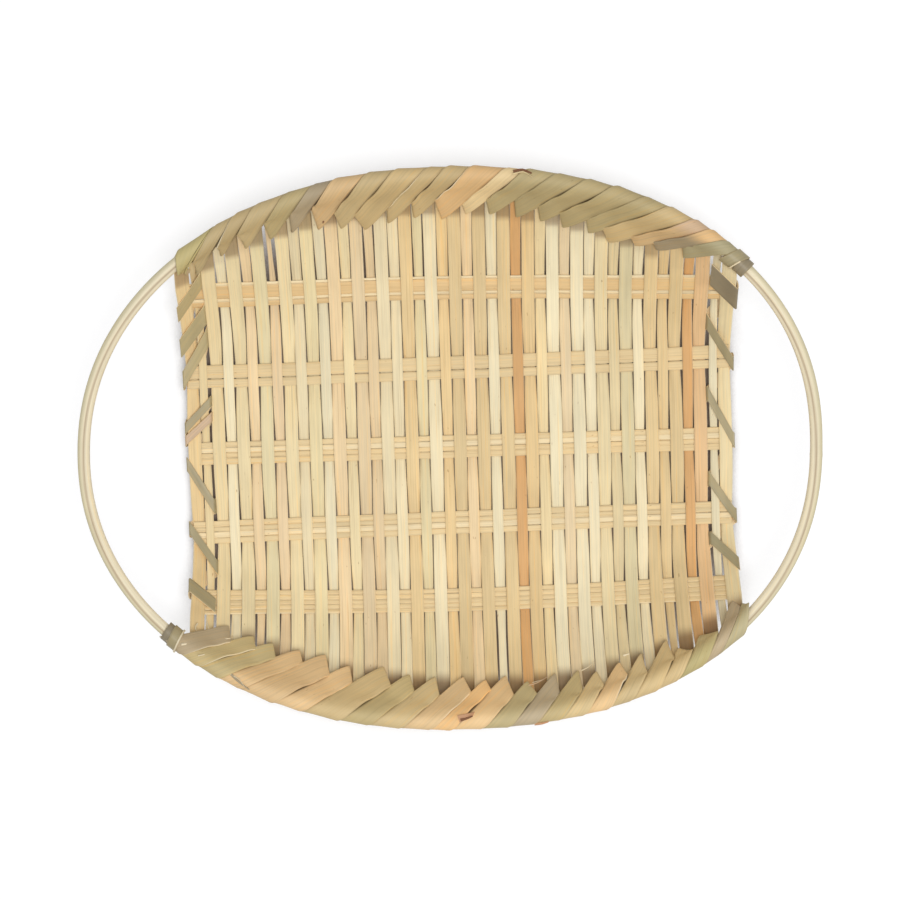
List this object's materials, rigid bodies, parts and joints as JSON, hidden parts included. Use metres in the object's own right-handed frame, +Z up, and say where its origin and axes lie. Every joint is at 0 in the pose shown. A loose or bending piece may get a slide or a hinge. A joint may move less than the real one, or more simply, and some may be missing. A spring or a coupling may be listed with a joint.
{
  "type": "woven bamboo basket",
  "caption": "Shallow oblong tray of flat woven bamboo strips hung in an oval bamboo hoop whose two free ends are carrying handles; slanted strip ends bind the long rims.",
  "frame": {"origin": "on the ground under the middle of the oval hoop", "axes": "+X along the length, from the left handle to the right one; +Y across, towards the long rim whose corner tie is on the right; +Z up, out of the open mouth"},
  "size_m": [0.2979, 0.2254, 0.0422],
  "materials": {
    "hoop": "smooth split bamboo",
    "warp": "matt split bamboo",
    "weft": "matt split bamboo",
    "binding": "matt dried bamboo skin"
  },
  "bodies": {
    "root": {"hoop_rod": "hoop", "warp_strip_01": "warp", "warp_strip_02": "warp", "warp_strip_03": "warp", "warp_strip_04": "warp", "warp_strip_05": "warp", "warp_strip_06": "warp", "warp_strip_07": "warp", "warp_strip_08": "warp", "warp_strip_09": "warp", "warp_strip_10": "warp", "warp_strip_11": "warp", "warp_strip_12": "warp", "warp_strip_13": "warp", "warp_strip_14": "warp", "warp_strip_15": "warp", "warp_strip_16": "warp", "warp_strip_17": "warp", "warp_strip_18": "warp", "warp_strip_19": "warp", "warp_strip_20": "warp", "warp_strip_21": "warp", "warp_strip_22": "warp", "warp_strip_23": "warp", "warp_strip_24": "warp", "warp_strip_25": "warp", "warp_strip_26": "warp", "warp_strip_27": "warp", "warp_strip_28": "warp", "warp_strip_29": "warp", "warp_strip_30": "warp", "warp_strip_31": "warp", "warp_strip_32": "warp", "warp_strip_33": "warp", "warp_strip_34": "warp", "warp_strip_35": "warp", "warp_strip_36": "warp", "warp_strip_37": "warp", "warp_strip_38": "warp", "warp_strip_39": "warp", "warp_strip_40": "warp", "warp_strip_41": "warp", "warp_strip_42": "warp", "warp_strip_43": "warp", "warp_strip_44": "warp", "warp_strip_45": "warp", "weft_1_upper": "weft", "weft_1_lower": "weft", "weft_2_upper": "weft", "weft_2_lower": "weft", "weft_3_upper": "weft", "weft_3_lower": "weft", "weft_4_upper": "weft", "weft_4_lower": "weft", "weft_5": "weft", "edge_lashing_left": "binding", "edge_lashing_right": "binding", "corner_tie_right": "binding", "corner_tie_left": "binding"}
  },
  "joints": []
}
